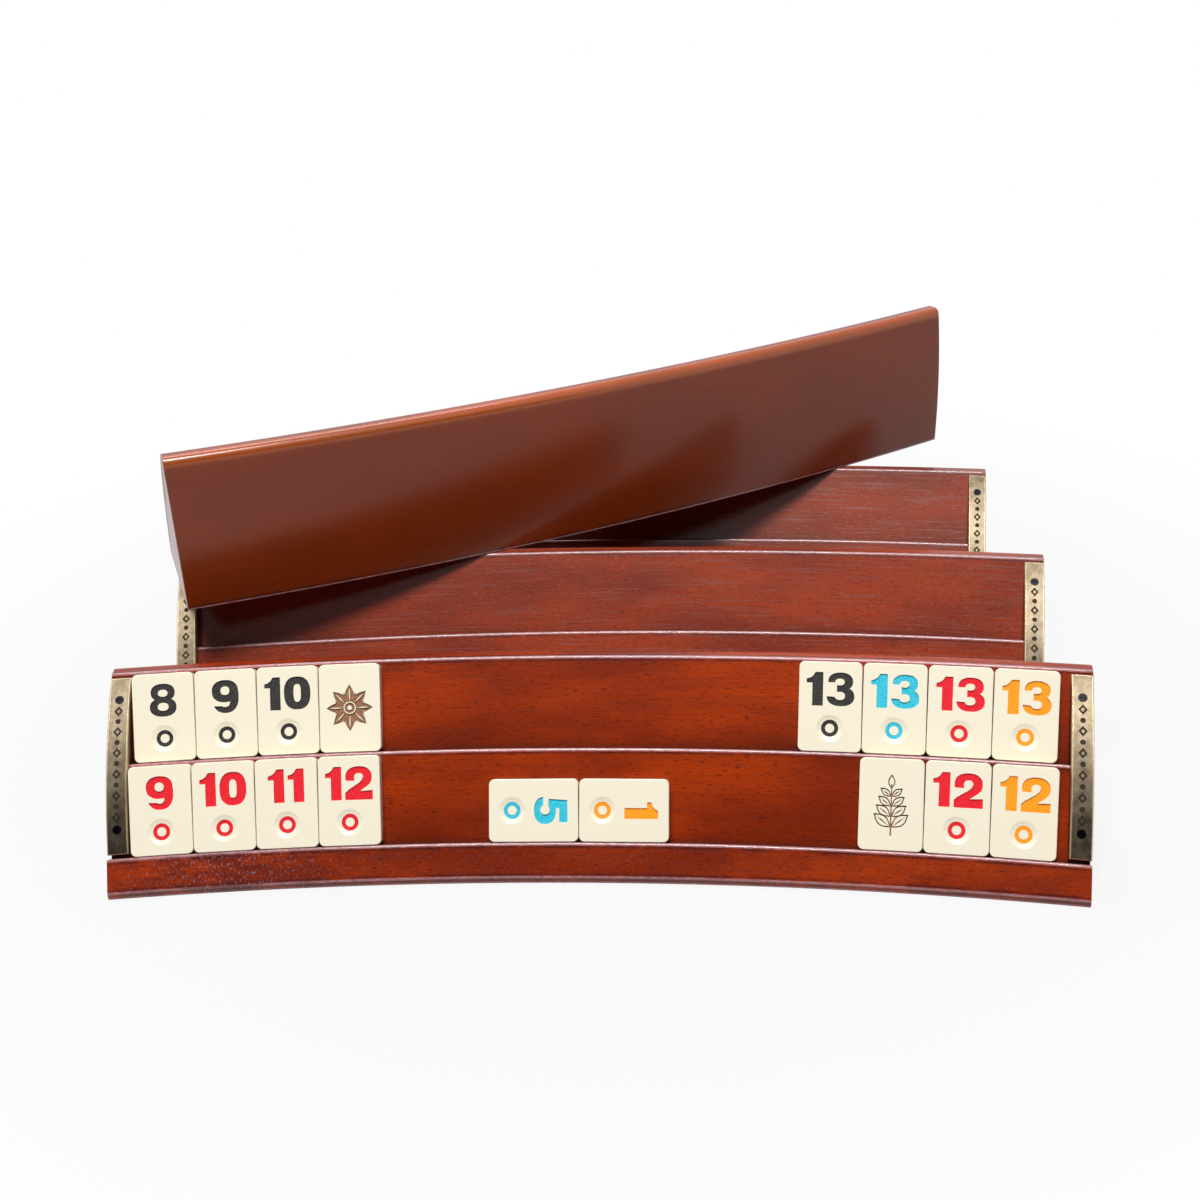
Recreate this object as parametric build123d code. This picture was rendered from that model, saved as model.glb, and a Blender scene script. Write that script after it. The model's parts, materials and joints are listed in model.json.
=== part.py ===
"""Four curved two-step tile racks with brass end caps, and the numbered tiles of a rummy game.

Three racks stand one behind another on the table. The fourth is turned round and lies across the
tops of the middle and the rear rack. The front rack holds the tiles. Every rack is one length of
stepped moulding, bent to a gentle arc whose hollow side faces the player.

Units are millimetres. Z is up, the player sits at -Y, and the origin is the middle of the front
rack's underside. A rack's section is drawn in two coordinates: the depth behind the front edge of
its foot, and the height above the table.
"""
import math
import os

from build123d import *

# ---- tile ----
TILE_WIDTH = 26.8
TILE_HEIGHT = 38.5
TILE_THICKNESS = 6.8
TILE_CORNER_RADIUS = 2.4
TILE_EDGE_ROUNDING = 0.4
DISH_RADIUS = 5.7            # shallow round dish that the coloured ring is printed in
DISH_DEPTH = 0.7
DISH_CENTRE_HEIGHT = 10.0    # above the foot of the tile

# ---- clearances ----
SEAT_GAP = 0.25              # between a tile and the wood behind it and under it
TILE_SIDE_GAP = 0.2          # between neighbouring tiles, where they come closest
LEDGE_ALLOWANCE = 0.4        # a ledge is this much deeper than a tile is thick
FACE_ALLOWANCE = 1.7         # a leaning face is this much taller than a tile
STACK_GAP = 0.2              # between the turned rack and the two rack tops that carry it
SCREW_HOLE_CLEARANCE = 0.1   # round a screw's shank
HEAD_CLEARANCE = 0.05        # round a screw's head, in its countersink
CAP_LEDGE_GAP = 0.3          # over the middle ledge, so that a cap seats on the two faces only

# ---- section of the moulding ----
FACE_LEAN = 31.5             # degrees from upright, of the apron and of both tile faces
FOOT_BAND = 2.2              # upright band at the bottom of the apron
APRON_FACE = 15.5
TOP_THICKNESS = 7.8
BACK_SET_OUT = 1.8           # the back stands this much further out at its foot than at its top
BACK_COVE = 1.6              # depth of the long hollow up the back
TOP_ROUNDING = 1.6
LEDGE_ROUNDING = 0.8
FOOT_ROUNDING = 0.5

# ---- rack in plan ----
FRONT_RADIUS = 1470.0        # of the front edge of the foot
RACK_LENGTH = 413.4          # across the front corners of the foot
END_CUT_ANGLE = 5.7          # degrees: each end spreads outwards towards the back

# ---- end cap ----
CAP_WIDTH = 9.2
CAP_CROWN = 4.6              # how far the bowed front stands in front of its own chord
CAP_TIP = 0.8                # thickness at the thin upper end
CAP_TOP_INSET = 1.8          # below the top edge of the upper face
CAP_FOOT_GAP = 1.6           # open slit over the lower ledge
CAP_FOOT_SET_BACK = 0.9      # behind the front edge of the lower ledge
CAP_EDGE_BEVEL = 0.5

# ---- cap screw ----
SCREW_HEAD_RADIUS = 1.8
SCREW_SHANK_RADIUS = 1.1
SCREW_LENGTH = 12.0
SCREW_INSET = 10.5           # from each end of the bowed front, along its chord
RECESS_LENGTH = 2.2
RECESS_WIDTH = 0.5
RECESS_DEPTH = 0.6

# ---- where the other racks stand, against the front rack: sideways, backwards, turned in degrees ----
MIDDLE_RACK_SHIFT = -1.7
MIDDLE_RACK_DISTANCE = 109.5
MIDDLE_RACK_TURN = 0.4
REAR_RACK_SHIFT = -13.9
REAR_RACK_DISTANCE = 218.7
REAR_RACK_TURN = 0.8
TURNED_RACK_SHIFT = -38.0
TURNED_RACK_DISTANCE = 263.7
TURNED_RACK_TURN = 209.3

# ---- where the tiles stand, along the row at the foot of their fronts ----
UPPER_LEFT_GAP = 1.7         # from the left cap, upper row
LOWER_LEFT_GAP = 1.0         # from the left cap, lower row
RIGHT_GAP = 5.0              # from the right cap, both rows
LYING_TILES_OFFSET = 43.6    # left edge of the two tiles that lie on their sides, left of the middle

LEFT_UPPER_TILES = ("tile_black_8", "tile_black_9", "tile_black_10", "tile_joker_star")
LEFT_LOWER_TILES = ("tile_red_9", "tile_red_10", "tile_red_11", "tile_red_12")
RIGHT_UPPER_TILES = ("tile_black_13", "tile_blue_13", "tile_red_13", "tile_orange_13")
RIGHT_LOWER_TILES = ("tile_joker_leaf", "tile_red_12_spare", "tile_orange_12")
LYING_TILES = ("tile_blue_5", "tile_orange_1")

# ---- worked out from the values above ----
LEAN = math.radians(FACE_LEAN)
UP_FACE = Vector(math.sin(LEAN), math.cos(LEAN))       # up a leaning face: depth, height
INTO_LEDGE = Vector(math.cos(LEAN), -math.sin(LEAN))   # back along a ledge
LEDGE_DEPTH = TILE_THICKNESS + LEDGE_ALLOWANCE
FACE_HEIGHT = TILE_HEIGHT + FACE_ALLOWANCE

FOOT_FRONT = Vector(0, 0)
BAND_TOP = Vector(0, FOOT_BAND)
LOWER_LEDGE_FRONT = BAND_TOP + UP_FACE * APRON_FACE
LOWER_LEDGE_BACK = LOWER_LEDGE_FRONT + INTO_LEDGE * LEDGE_DEPTH
MIDDLE_LEDGE_FRONT = LOWER_LEDGE_BACK + UP_FACE * FACE_HEIGHT
MIDDLE_LEDGE_BACK = MIDDLE_LEDGE_FRONT + INTO_LEDGE * LEDGE_DEPTH
TOP_FRONT = MIDDLE_LEDGE_BACK + UP_FACE * FACE_HEIGHT
TOP_BACK = TOP_FRONT + Vector(TOP_THICKNESS, 0)
FOOT_BACK = Vector(TOP_BACK.X + BACK_SET_OUT, 0)
RACK_HEIGHT = TOP_BACK.Y
BASE_DEPTH = FOOT_BACK.X
END_SPREAD = math.tan(math.radians(END_CUT_ANGLE))     # sideways per millimetre of depth


def bend(section_face, sweep):
    """Carries a section along the rack's arc, sweep degrees to each side of the middle."""
    arc_axis = Axis((0, -FRONT_RADIUS, 0), (0, 0, 1))
    start = section_face.rotate(arc_axis, -sweep)
    return revolve(start, axis=arc_axis, revolution_arc=2 * sweep)


def end_plane(side, inset=0.0):
    """The plane of a rack's end cut, moved inwards by inset. Its normal points outwards."""
    normal = Vector(side * math.cos(math.atan(END_SPREAD)), -math.sin(math.atan(END_SPREAD)), 0)
    front_sag = FRONT_RADIUS - math.sqrt(FRONT_RADIUS**2 - (RACK_LENGTH / 2) ** 2)
    corner = Vector(side * RACK_LENGTH / 2, -front_sag, 0)
    return Plane(origin=corner - normal * inset, x_dir=(0, 0, 1), z_dir=normal)


def outline_face(straight_run, arc_middle):
    """A flat face bounded by straight lines through a run of points, closed by one arc."""
    points = [(p.X, p.Y) for p in straight_run]
    closing = ThreePointArc(points[-1], (arc_middle.X, arc_middle.Y), points[0])
    return make_face(Polyline(*points) + closing)


def moulding_section():
    """Closed outline of the stepped moulding, with its arrises rounded and its back coved."""
    straight_run = [TOP_BACK, TOP_FRONT, MIDDLE_LEDGE_BACK, MIDDLE_LEDGE_FRONT, LOWER_LEDGE_BACK,
                    LOWER_LEDGE_FRONT, BAND_TOP, FOOT_FRONT, FOOT_BACK]
    section = outline_face(straight_run, (TOP_BACK + FOOT_BACK) / 2 - Vector(BACK_COVE, 0))
    for points, radius in (((TOP_FRONT, TOP_BACK), TOP_ROUNDING),
                           ((MIDDLE_LEDGE_FRONT, LOWER_LEDGE_FRONT), LEDGE_ROUNDING),
                           ((FOOT_FRONT, FOOT_BACK), FOOT_ROUNDING)):
        for point in points:
            section = fillet(section.vertices().sort_by_distance(point)[0], radius)
    return Plane.YZ * section


def rack_sweep():
    """Half angle of the arc, a little past the end cuts at the back of the rack."""
    reach = RACK_LENGTH / 2 + (BASE_DEPTH + LEDGE_DEPTH) * END_SPREAD
    return math.degrees(math.asin(reach / FRONT_RADIUS))


def cap_chord():
    """Lower and upper end of the bowed front of a cap, as depth and height."""
    foot = LOWER_LEDGE_FRONT + INTO_LEDGE * CAP_FOOT_SET_BACK + UP_FACE * CAP_FOOT_GAP
    tip = TOP_FRONT - UP_FACE * CAP_TOP_INSET - INTO_LEDGE * CAP_TIP
    return foot, tip


def cap_front_point(along):
    """A point of the bowed front, and the way into the rack there, square to the front."""
    foot, tip = cap_chord()
    chord = tip - foot
    half = chord.length / 2
    bow_radius = (half**2 + CAP_CROWN**2) / (2 * CAP_CROWN)
    up = chord.normalized()
    inwards = Vector(up.Y, -up.X)
    centre = (foot + tip) / 2 + inwards * (bow_radius - CAP_CROWN)
    offset = along - half
    outwards = up * offset - inwards * math.sqrt(bow_radius**2 - offset**2)
    return centre + outwards, -outwards.normalized()


def cap_section():
    """Bowed front, and a back that fits the two faces and steps over the middle ledge."""
    foot, tip = cap_chord()
    crown, _ = cap_front_point((tip - foot).length / 2)
    step_front = MIDDLE_LEDGE_FRONT + UP_FACE * CAP_LEDGE_GAP
    step_back = MIDDLE_LEDGE_BACK + UP_FACE * CAP_LEDGE_GAP
    back_run = [tip, tip + INTO_LEDGE * CAP_TIP, step_back, step_front,
                LOWER_LEDGE_BACK + UP_FACE * CAP_FOOT_GAP, foot]
    return Plane.YZ * outline_face(back_run, crown)


def screw_places(side):
    """Planes on a cap's front, one for each screw, whose normals point out of the rack."""
    foot, tip = cap_chord()
    run = (tip - foot).length
    places = []
    for along in (SCREW_INSET, run - SCREW_INSET):
        point, inwards = cap_front_point(along)
        sideways = side * (RACK_LENGTH / 2 + point.X * END_SPREAD - CAP_WIDTH / 2)
        radius = FRONT_RADIUS + point.X
        turn = math.asin(sideways / radius)
        origin = Vector(sideways, radius * math.cos(turn) - FRONT_RADIUS, point.Y)
        outwards = Vector(-inwards.X * math.sin(turn), -inwards.X * math.cos(turn), -inwards.Y)
        across = Vector(math.cos(turn), -math.sin(turn), 0)
        places.append(Plane(origin=origin, x_dir=across, z_dir=outwards))
    return places


def screw_body(extra):
    """A countersunk screw, head up, its head's flat at z = 0, with extra all round it."""
    head_radius = SCREW_HEAD_RADIUS + extra
    shank_radius = SCREW_SHANK_RADIUS + extra
    head_height = head_radius - shank_radius
    head = Pos(0, 0, -head_height / 2) * Cone(shank_radius, head_radius, head_height)
    shank_length = SCREW_LENGTH - head_height
    shank = Pos(0, 0, -head_height - shank_length / 2) * Cylinder(shank_radius, shank_length)
    return head + shank


def screw_hole(clearance):
    """What is cut away for a screw, with a clearance all round it and open above its head."""
    mouth = Pos(0, 0, CAP_CROWN / 2) * Cylinder(SCREW_HEAD_RADIUS + clearance, CAP_CROWN)
    return screw_body(clearance) + mouth


def screw():
    """A countersunk screw with a cross recess."""
    bar = Box(RECESS_LENGTH, RECESS_WIDTH, 2 * RECESS_DEPTH)
    return screw_body(0) - bar - Rot(0, 0, 90) * bar


def rack_wood():
    """The stepped moulding, cut at both ends and drilled for the screws."""
    wood = bend(moulding_section(), rack_sweep())
    for side in (-1, 1):
        wood = split(wood, bisect_by=end_plane(side), keep=Keep.BOTTOM)
        for place in screw_places(side):
            wood -= place.location * screw_hole(SCREW_HOLE_CLEARANCE)
    return wood


def rack_cap(side):
    """One brass end cap, with bevelled front edges and two countersunk holes."""
    cap = bend(cap_section(), rack_sweep())
    cap = split(cap, bisect_by=end_plane(side), keep=Keep.BOTTOM)
    cap = split(cap, bisect_by=end_plane(side, CAP_WIDTH), keep=Keep.TOP)
    foot, tip = cap_chord()
    crown, _ = cap_front_point((tip - foot).length / 2)
    bowed = [e for e in cap.edges() if abs(e.center().Z - crown.Y) < CAP_WIDTH
             and e.center().Y < crown.X and e.length > FACE_HEIGHT]
    cap = chamfer(bowed, CAP_EDGE_BEVEL)
    for place in screw_places(side):
        cap -= place.location * screw_hole(HEAD_CLEARANCE)
    return cap


def rack_screws():
    """The four screws of one rack, as separate solids."""
    places = screw_places(-1) + screw_places(1)
    return Compound(children=[place.location * screw() for place in places])


def tile(with_dish):
    """A tile standing on z = 0, its back at y = 0 and its front facing -y."""
    middle = Pos(0, -TILE_THICKNESS / 2, TILE_HEIGHT / 2)
    block = middle * Box(TILE_WIDTH, TILE_THICKNESS, TILE_HEIGHT)
    block = fillet(block.edges().filter_by(Axis.Y), TILE_CORNER_RADIUS)
    rims = block.faces().sort_by(Axis.Y)
    block = fillet(rims[0].edges() + rims[-1].edges(), TILE_EDGE_ROUNDING)
    if with_dish:
        ball_radius = (DISH_RADIUS**2 + DISH_DEPTH**2) / (2 * DISH_DEPTH)
        ball_centre_y = -TILE_THICKNESS + DISH_DEPTH - ball_radius
        block -= Pos(0, ball_centre_y, DISH_CENTRE_HEIGHT) * Sphere(ball_radius)
    return block


def lying(upright_tile):
    """A tile laid on its side, its top to the right."""
    turned = Rot(0, 90, 0) * upright_tile
    return Pos(-TILE_HEIGHT / 2, 0, TILE_WIDTH / 2) * turned


def seat_tile(shape, ledge_back, along):
    """Stands a tile on a ledge with its middle at the distance along from the rack's middle."""
    seat = ledge_back + (UP_FACE - INTO_LEDGE) * SEAT_GAP
    front_foot = seat - INTO_LEDGE * TILE_THICKNESS
    turn = along / (FRONT_RADIUS + front_foot.X)
    radius = FRONT_RADIUS + seat.X
    place = Pos(radius * math.sin(turn), radius * math.cos(turn) - FRONT_RADIUS, seat.Y)
    return place * Rot(0, 0, -math.degrees(turn)) * Rot(-FACE_LEAN, 0, 0) * shape


def cap_inner_side(ledge_back):
    """Distance along a row from the rack's middle to a cap, at the foot of the tiles."""
    depth = (ledge_back - INTO_LEDGE * LEDGE_DEPTH).X
    sideways = RACK_LENGTH / 2 + depth * END_SPREAD - CAP_WIDTH
    return (FRONT_RADIUS + depth) * math.asin(sideways / (FRONT_RADIUS + depth))


def tiles():
    """Every tile on the front rack, by name."""
    pitch = TILE_WIDTH + TILE_SIDE_GAP
    rows = []
    for names, ledge, gap in ((LEFT_UPPER_TILES, MIDDLE_LEDGE_BACK, UPPER_LEFT_GAP),
                              (LEFT_LOWER_TILES, LOWER_LEDGE_BACK, LOWER_LEFT_GAP)):
        start = -cap_inner_side(ledge) + gap
        rows.append((names, ledge, start))
    for names, ledge in ((RIGHT_UPPER_TILES, MIDDLE_LEDGE_BACK),
                         (RIGHT_LOWER_TILES, LOWER_LEDGE_BACK)):
        start = cap_inner_side(ledge) - RIGHT_GAP - len(names) * pitch
        rows.append((names, ledge, start))
    placed = {}
    numbered, joker = tile(True), tile(False)
    for names, ledge, start in rows:
        for index, name in enumerate(names):
            shape = joker if "joker" in name else numbered
            placed[name] = seat_tile(shape, ledge, start + (index + 0.5) * pitch)
    lying_pitch = TILE_HEIGHT + TILE_SIDE_GAP
    for index, name in enumerate(LYING_TILES):
        along = (index + 0.5) * lying_pitch - LYING_TILES_OFFSET
        placed[name] = seat_tile(lying(numbered), LOWER_LEDGE_BACK, along)
    return placed


def rack_place(shift, distance, height, turn):
    """Where a rack stands: moved sideways, backwards and up, and turned in degrees."""
    return Pos(shift, distance - BASE_DEPTH / 2, height) * Rot(0, 0, turn)


def main():
    os.makedirs("parts", exist_ok=True)
    on_top = RACK_HEIGHT + STACK_GAP
    racks = {
        "front": rack_place(0, 0, 0, 0),
        "middle": rack_place(MIDDLE_RACK_SHIFT, MIDDLE_RACK_DISTANCE, 0, MIDDLE_RACK_TURN),
        "rear": rack_place(REAR_RACK_SHIFT, REAR_RACK_DISTANCE, 0, REAR_RACK_TURN),
        "turned": rack_place(TURNED_RACK_SHIFT, TURNED_RACK_DISTANCE, on_top, TURNED_RACK_TURN),
    }
    pieces = {"wood": rack_wood(), "left_cap": rack_cap(-1), "right_cap": rack_cap(1),
              "cap_screws": rack_screws()}
    for rack, place in racks.items():
        for piece, shape in pieces.items():
            export_step(place * shape, f"parts/{rack}_rack_{piece}.step")
    for name, shape in tiles().items():
        export_step(racks["front"] * shape, f"parts/{name}.step")


main()
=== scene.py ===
# %% [markdown]
# # A set of rummy tile racks, dressed for a picture
# Four curved wooden racks with brass end caps stand on a table, and the front one holds engraved
# tiles. The CAD parts are already packed in one shared frame, and this script gives them their
# looks.

import json
import math

import bpy
import numpy as np
from mathutils import Matrix, Vector
from mathutils.geometry import delaunay_2d_cdt


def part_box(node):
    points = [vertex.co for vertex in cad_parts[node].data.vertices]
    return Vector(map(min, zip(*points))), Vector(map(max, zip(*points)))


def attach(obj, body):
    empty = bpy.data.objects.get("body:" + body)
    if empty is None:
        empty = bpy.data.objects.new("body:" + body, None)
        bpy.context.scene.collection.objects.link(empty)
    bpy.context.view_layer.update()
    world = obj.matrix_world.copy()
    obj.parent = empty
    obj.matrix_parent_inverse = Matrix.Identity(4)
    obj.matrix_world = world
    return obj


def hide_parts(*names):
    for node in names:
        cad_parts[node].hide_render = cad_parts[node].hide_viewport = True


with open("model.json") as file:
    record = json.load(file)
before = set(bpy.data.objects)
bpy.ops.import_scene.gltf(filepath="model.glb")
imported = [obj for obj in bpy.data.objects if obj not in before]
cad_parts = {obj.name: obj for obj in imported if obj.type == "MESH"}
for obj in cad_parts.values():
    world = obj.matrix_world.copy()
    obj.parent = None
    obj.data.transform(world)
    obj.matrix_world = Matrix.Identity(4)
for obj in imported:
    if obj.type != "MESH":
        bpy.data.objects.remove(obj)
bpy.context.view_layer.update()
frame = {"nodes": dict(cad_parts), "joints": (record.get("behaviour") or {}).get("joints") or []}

# %% [markdown]
# ## Sizes
# The wood is worked out again from the CAD part's own few sizes, in millimetres: one leaning
# direction, one ledge and one arc. A rack's section is drawn as depth behind the front edge of
# its foot, and height above the table. `MM` turns the result into metres at the very end.

# %% sizes of a rack and of a tile
MM = 0.001
LEAN = math.radians(31.5)
UP_FACE = np.array([math.sin(LEAN), math.cos(LEAN)])
INTO_LEDGE = np.array([math.cos(LEAN), -math.sin(LEAN)])
FOOT_BAND, BAND_EDGE_HEIGHT = 2.2, 3.2
APRON_FACE = 15.5
LEDGE_DEPTH = 7.2
FACE_HEIGHT = 40.2
TOP_THICKNESS = 7.8
BACK_SET_OUT = 1.8
BACK_COVE = 1.6
TOP_ROUNDING, CROWN_ROUNDING, LEDGE_ROUNDING = 0.8, 3.6, 0.9
FOOT_ROUNDING, END_ROUNDING, BAND_ROUNDING = 0.5, 0.45, 0.4

FRONT_RADIUS = 1470.0
RACK_LENGTH = 413.4
END_CUT = math.radians(5.7)

TILE_WIDTH, TILE_HEIGHT, TILE_THICKNESS = 26.8, 38.5, 6.8
TILE_CORNER, TILE_RIM = 2.4, 0.4

FOOT_FRONT = np.array([0.0, 0.0])
BAND_TOP = np.array([0.0, FOOT_BAND])
LOWER_FRONT = BAND_TOP + UP_FACE * APRON_FACE
LOWER_BACK = LOWER_FRONT + INTO_LEDGE * LEDGE_DEPTH
MIDDLE_FRONT = LOWER_BACK + UP_FACE * FACE_HEIGHT
MIDDLE_BACK = MIDDLE_FRONT + INTO_LEDGE * LEDGE_DEPTH
TOP_FRONT = MIDDLE_BACK + UP_FACE * FACE_HEIGHT
BAND_EDGE = np.array([0.0, BAND_EDGE_HEIGHT])
TOP_BACK = TOP_FRONT + np.array([TOP_THICKNESS, 0.0])
FOOT_BACK = np.array([TOP_BACK[0] + BACK_SET_OUT, 0.0])
RACK_HEIGHT = TOP_BACK[1]
STACK_GAP = 0.2

# Where each rack stands: sideways, backwards, up, and its turn in degrees.
RACK_PLACES = {
    "front": (0.0, 0.0, 0.0, 0.0),
    "middle": (-1.7, 109.5, 0.0, 0.4),
    "rear": (-13.9, 218.7, 0.0, 0.8),
    "turned": (-38.0, 263.7, RACK_HEIGHT + STACK_GAP, 209.3),
}
print("a rack is", round(RACK_HEIGHT, 2), "mm high,", round(FOOT_BACK[0], 2), "mm deep")

# %% [markdown]
# ## A few small helpers
# A mesh can be typed in as arrays: `from_pydata` takes the corners and the faces. Patches that
# were worked out separately meet in equal points, so a mesh is welded once, and an edge is marked
# sharp where its two faces turn by more than a set angle. What a finish needs later, such as how
# near a point is to an arris, rides along as an attribute.

# %% arrays into a mesh object
WELD_MM = 0.002
SHARP_ANGLE = math.radians(32.0)


def weld(points, faces):
    """Merges points that round to the same place on the weld grid, and drops unused ones.
    Gives the renumbered faces and which points were kept."""
    keys = np.round(points / WELD_MM).astype(np.int64)
    _, kept, new_of_old = np.unique(keys, axis=0, return_index=True, return_inverse=True)
    new_of_old = new_of_old.ravel()
    merged = [list(dict.fromkeys(new_of_old[list(face)].tolist())) for face in faces]
    merged = [face if len(face) > 2 else [] for face in merged]
    used = np.unique(np.concatenate([face for face in merged if face]))
    renumber = np.zeros(len(kept), np.int64)
    renumber[used] = np.arange(len(used))
    return [renumber[face].tolist() if face else [] for face in merged], kept[used]


def new_object(name, data):
    """A new object with its data, linked to the scene."""
    made = bpy.data.objects.new(name, data)
    bpy.context.scene.collection.objects.link(made)
    return made


def mesh_piece(name, points, faces, point_values=None, face_values=None):
    """One mesh object from points in millimetres and faces, with float attributes by name."""
    merged, kept = weld(points, faces)
    solid = [i for i, face in enumerate(merged) if face]
    mesh = bpy.data.meshes.new(name)
    mesh.from_pydata((points[kept] * MM).tolist(), [], [merged[i] for i in solid])
    for domain, chosen, group in (("POINT", kept, point_values), ("FACE", solid, face_values)):
        for label, values in (group or {}).items():
            kind, field = ("FLOAT", "value") if values.ndim == 1 else ("FLOAT_VECTOR", "vector")
            layer = mesh.attributes.new(label, kind, domain)
            layer.data.foreach_set(field, values[chosen].astype(np.float32).ravel())
    mesh.shade_smooth()
    mesh.set_sharp_from_angle(angle=SHARP_ANGLE)
    return new_object(name, mesh)


def ring_faces(rings, around, flip=False):
    """Quads between closed rings of as many points, stored ring by ring; flip turns them over."""
    r, c = np.arange(rings - 1)[:, None], np.arange(around)[None, :]
    after = (c + 1) % around
    quads = np.stack([r * around + c, r * around + after,
                      (r + 1) * around + after, (r + 1) * around + c], axis=-1).reshape(-1, 4)
    return (quads[:, ::-1] if flip else quads).tolist()


def nearest(points, others):
    """Distance from each point to the nearest of the others."""
    return np.linalg.norm(points[:, None] - others[None], axis=2).min(axis=1)


def cos_sin(degrees):
    """Cosine and sine of an angle in degrees."""
    return math.cos(math.radians(degrees)), math.sin(math.radians(degrees))


def unit_ring(count):
    """Cosines and sines of a full turn in equal steps."""
    t = np.linspace(0, 2 * math.pi, count, endpoint=False)
    return np.cos(t), np.sin(t)


print("mesh helpers ready")

# %% [markdown]
# ## The moulding's outline
# The real rack is a plank run through a moulding cutter: two leaning faces, two ledges square to
# them, an apron, and a back with a long shallow hollow. It could be one polygon with a Bevel
# modifier, but then the shader would not know how far a point is from an arris. So the outline is
# worked out as arrays: straight runs with a few points packed near each corner, and a true arc at
# each rounded corner. The number `arris` is 1 on the arcs and fades away from them, and another
# number does the same for the inner corners, which the finish darkens as painted shade.

# %% outline of the moulding
ARRIS_REACH, NOOK_REACH = 1.1, 2.6
RUN_SPACING, SHORTEST_RUN = 3.0, 1.2
NEAR_CORNERS = np.array([0.25, 0.8, 1.6, 2.6])   # extra points lie this far from a run's ends
NEAR_SHARE = 0.45                                # but never further than this share of the run
REAR_MARGIN = 0.5


def corner_arc(before, corner, after, radius, steps=6):
    """The arc that touches both sides of a corner. It meets them r / tan(half angle) away, and
    its centre lies on the bisector, r / sin(half angle) away."""
    a = (before - corner) / np.linalg.norm(before - corner)
    b = (after - corner) / np.linalg.norm(after - corner)
    half = math.acos(np.clip(a @ b, -1, 1)) / 2
    foot = corner + a * radius / math.tan(half)
    centre = corner + (a + b) / np.linalg.norm(a + b) * radius / math.sin(half)
    arm = foot - centre
    turn = np.sign(np.cross(arm, corner - centre)) * np.linspace(0, math.pi - 2 * half, steps + 1)
    c, s = np.cos(turn), np.sin(turn)
    return np.stack([centre[0] + arm[0] * c - arm[1] * s,
                     centre[1] + arm[0] * s + arm[1] * c], axis=1)


def packed_run(start, end):
    """Points between two ends, with extra ones close to both, and none at the ends."""
    length = np.linalg.norm(end - start)
    near = NEAR_CORNERS[NEAR_CORNERS < length * NEAR_SHARE]
    inner = np.linspace(near[-1], length - near[-1], max(2, int(length / RUN_SPACING)))[1:-1]
    along = np.concatenate([near, inner, (length - near)[::-1]])
    return start + (end - start) * (along / length)[:, None]


def coved_run(start, end, depth):
    """The hollow up the back: a point at share s of the way moves in by 4 s (1 - s) depth."""
    straight, length = packed_run(start, end), np.linalg.norm(end - start)
    share = np.linalg.norm(straight - start, axis=1) / length
    along, up = (end - start) / length
    return straight + (4 * share * (1 - share) * depth)[:, None] * (-up, along)


def moulding_outline():
    """The closed outline, from the foot's front up over the top and down the back, and for
    each point how near it is to an arris and to an inner corner, whether it is on the back, and
    how near it is to the crown, the wide rounding behind the top."""
    corners = [FOOT_FRONT, BAND_EDGE, LOWER_FRONT, LOWER_BACK, MIDDLE_FRONT, MIDDLE_BACK,
               TOP_FRONT, TOP_BACK, FOOT_BACK]
    radii = [FOOT_ROUNDING, BAND_ROUNDING, LEDGE_ROUNDING, 0, LEDGE_ROUNDING, 0,
             TOP_ROUNDING, CROWN_ROUNDING, FOOT_ROUNDING]
    arcs = [corner_arc(corners[i - 1], corners[i], corners[(i + 1) % len(corners)], radius)
            if radius else corners[i][None, :] for i, radius in enumerate(radii)]
    crown = radii.index(CROWN_ROUNDING)
    pieces = []
    for i, arc in enumerate(arcs):
        following = arcs[(i + 1) % len(arcs)]
        pieces.append(arc)
        if i == crown:
            pieces.append(coved_run(arc[-1], following[0], BACK_COVE))
        elif np.linalg.norm(following[0] - arc[-1]) > SHORTEST_RUN:
            pieces.append(packed_run(arc[-1], following[0]))
    outline = np.concatenate(pieces)
    rounded = np.concatenate([arc for i, arc in enumerate(arcs) if radii[i] and i != crown])
    hollow = np.concatenate([arc for i, arc in enumerate(arcs) if not radii[i]])
    return (outline, np.exp(-(nearest(outline, rounded) / ARRIS_REACH) ** 2),
            np.exp(-nearest(outline, hollow) / NOOK_REACH),
            (outline[:, 0] > TOP_BACK[0] - REAR_MARGIN) * 1.0,
            np.exp(-(nearest(outline, arcs[crown]) / ARRIS_REACH) ** 2))


OUTLINE, ARRIS, NOOK_SHADE, REAR, CROWN = moulding_outline()
print("outline:", len(OUTLINE), "points, height", round(OUTLINE[:, 1].max(), 2))

# %% [markdown]
# ## Along the arc
# The real plank was bent to an arc, and its ends were sawn. A bar could be bent by a modifier and
# sawn by booleans, but the turn at which a circle meets the saw cut has a closed form. Each point
# of the outline travels on its own circle, and a station s between -1 and 1 is s times that turn,
# so both ends come out flat and slanted. The last stations pull the outline in a little, which
# breaks the sharp edge of the cut.

# %% the rack's arc and its saw cuts
FRONT_SAG = FRONT_RADIUS - math.sqrt(FRONT_RADIUS**2 - (RACK_LENGTH / 2) ** 2)


def turn_at_cut(depth, inset=0.0):
    """Turn at which a circle of radius R + depth meets the plane inset from the cut:
    sin(turn - cut angle) = reach / (R + depth)."""
    reach = (math.cos(END_CUT) * RACK_LENGTH / 2 + math.sin(END_CUT) * (FRONT_SAG - FRONT_RADIUS)
             - inset)
    return END_CUT + np.arcsin(reach / (FRONT_RADIUS + depth))


def on_arc(depth, height, turn):
    """x = (R + depth) sin turn, y = (R + depth) cos turn - R, z = height."""
    radius = FRONT_RADIUS + depth
    return np.stack([radius * np.sin(turn), radius * np.cos(turn) - FRONT_RADIUS,
                     height + 0 * turn], axis=-1)


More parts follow.
